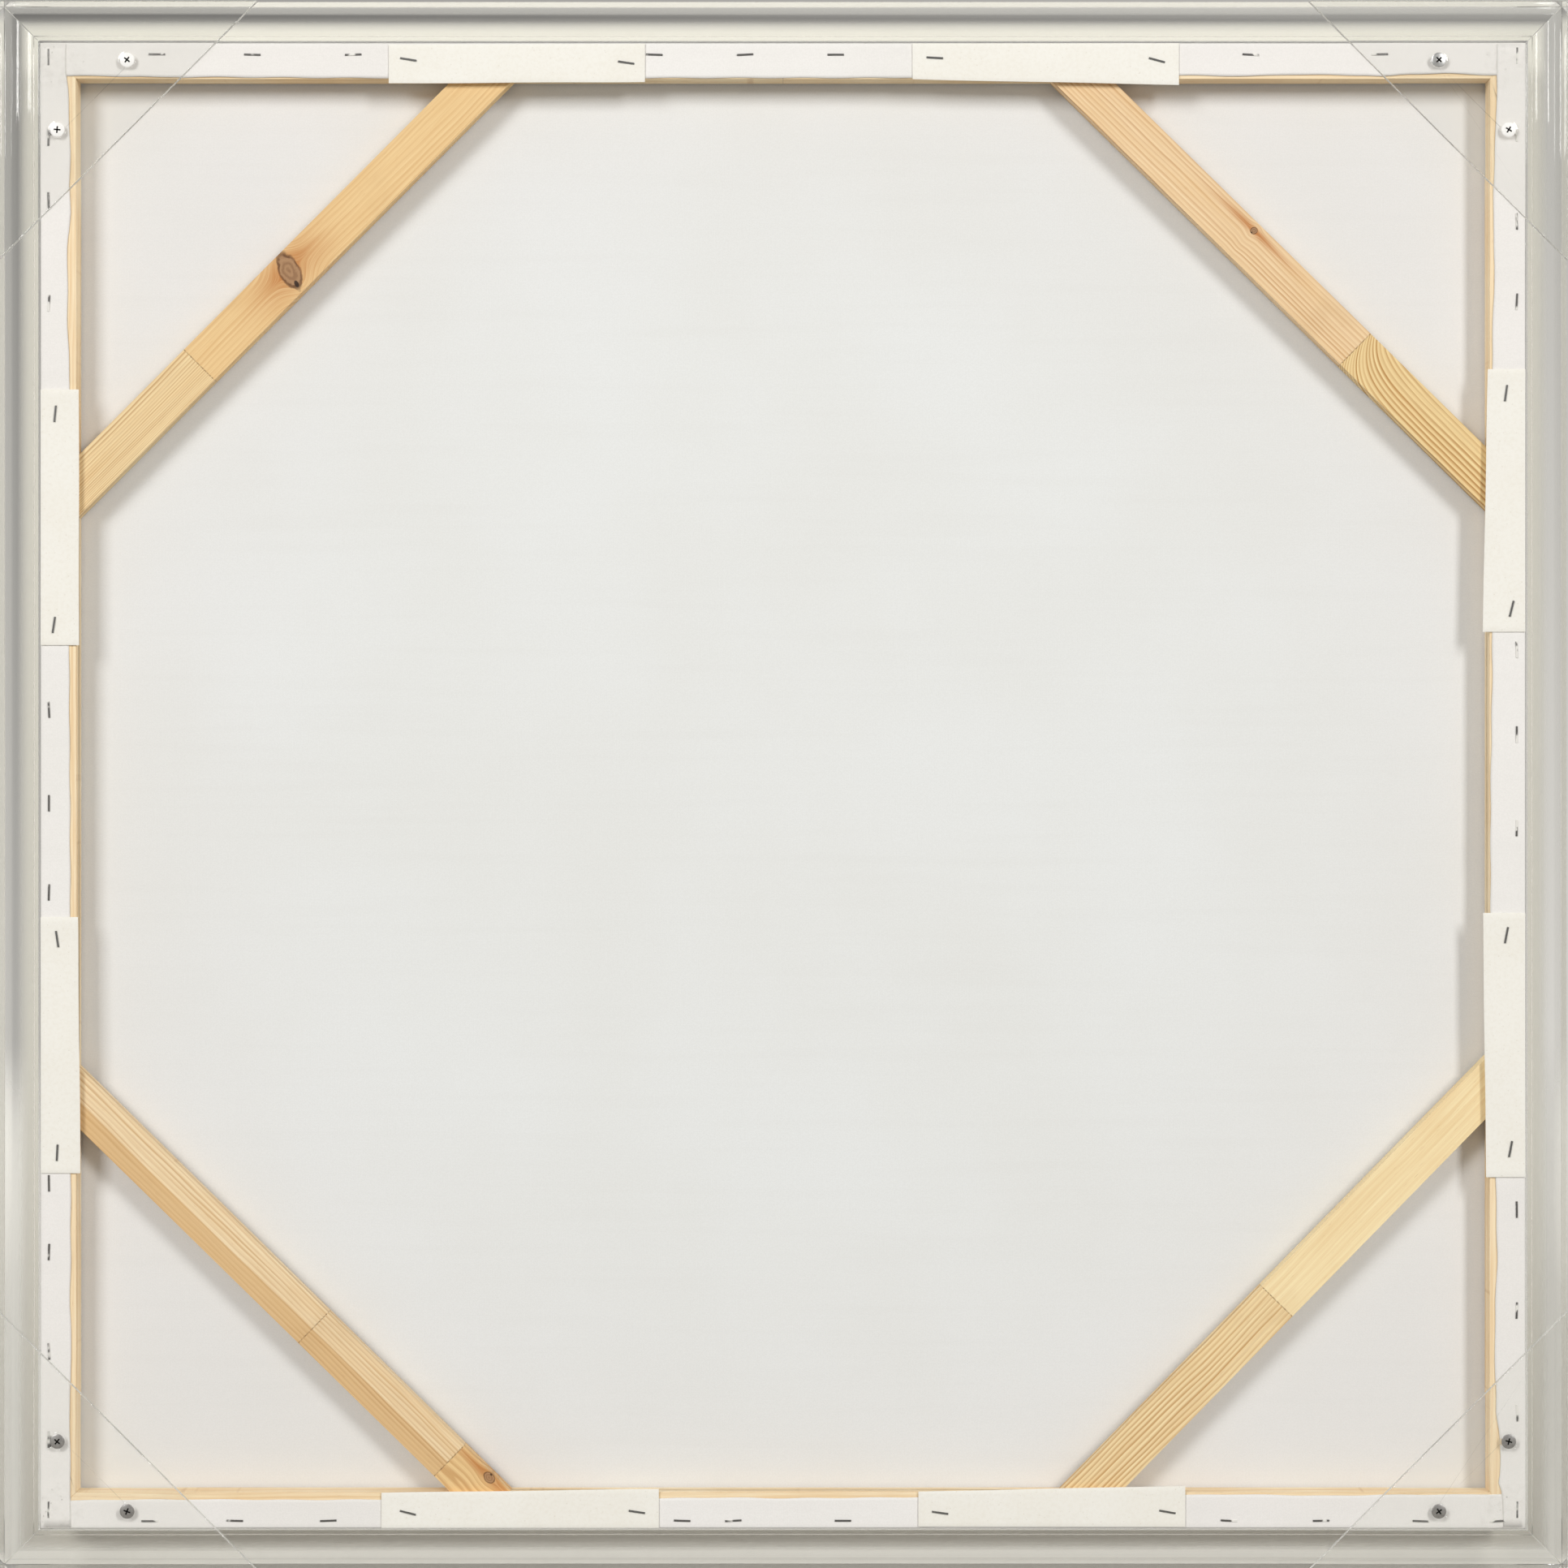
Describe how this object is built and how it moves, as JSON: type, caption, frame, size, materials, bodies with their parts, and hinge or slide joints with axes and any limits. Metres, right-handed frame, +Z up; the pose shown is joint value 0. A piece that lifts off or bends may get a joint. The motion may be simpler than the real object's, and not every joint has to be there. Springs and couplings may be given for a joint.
{
  "type": "stretched canvas",
  "caption": "Square stretched canvas with corner braces and stapled card strips, floated in a clear acrylic frame held on by clear corner plates.",
  "frame": {"origin": "middle of the frame's bottom edge, midway between its frontmost and rearmost faces", "axes": "+Z up the canvas as it hangs; +Y out of the back, away from the primed front; +X to the left as the back is seen. Left and right in node names are as seen from the back."},
  "size_m": [1.072, 0.0306, 1.072],
  "materials": {
    "canvas_cloth": "primed cotton canvas, matte",
    "bar_pine": "planed pine, unfinished",
    "brace_pine": "planed finger-jointed pine, unfinished",
    "card": "cream card, matte",
    "staple_wire": "galvanised wire",
    "brad_steel": "bright steel",
    "clear_acrylic": "clear moulded acrylic, polished",
    "plate_acrylic": "clear acrylic sheet, polished",
    "screw_steel": "zinc plated"
  },
  "bodies": {
    "root": {"canvas": "canvas_cloth", "stretcher_bar_top": "bar_pine", "stretcher_bar_bottom": "bar_pine", "stretcher_bar_left": "bar_pine", "stretcher_bar_right": "bar_pine", "corner_brace_top_left": "brace_pine", "corner_brace_top_right": "brace_pine", "corner_brace_bottom_left": "brace_pine", "corner_brace_bottom_right": "brace_pine", "card_strip_top_left": "card", "card_strip_top_right": "card", "card_strip_left_upper": "card", "card_strip_left_lower": "card", "card_strip_right_upper": "card", "card_strip_right_lower": "card", "card_strip_bottom_left": "card", "card_strip_bottom_right": "card", "canvas_staples": "staple_wire", "card_staples": "staple_wire", "brace_brads": "brad_steel", "frame_rail_top": "clear_acrylic", "frame_rail_bottom": "clear_acrylic", "frame_rail_left": "clear_acrylic", "frame_rail_right": "clear_acrylic", "corner_plate_top_left": "plate_acrylic", "corner_plate_top_right": "plate_acrylic", "corner_plate_bottom_left": "plate_acrylic", "corner_plate_bottom_right": "plate_acrylic", "plate_screws": "screw_steel"}
  },
  "joints": []
}
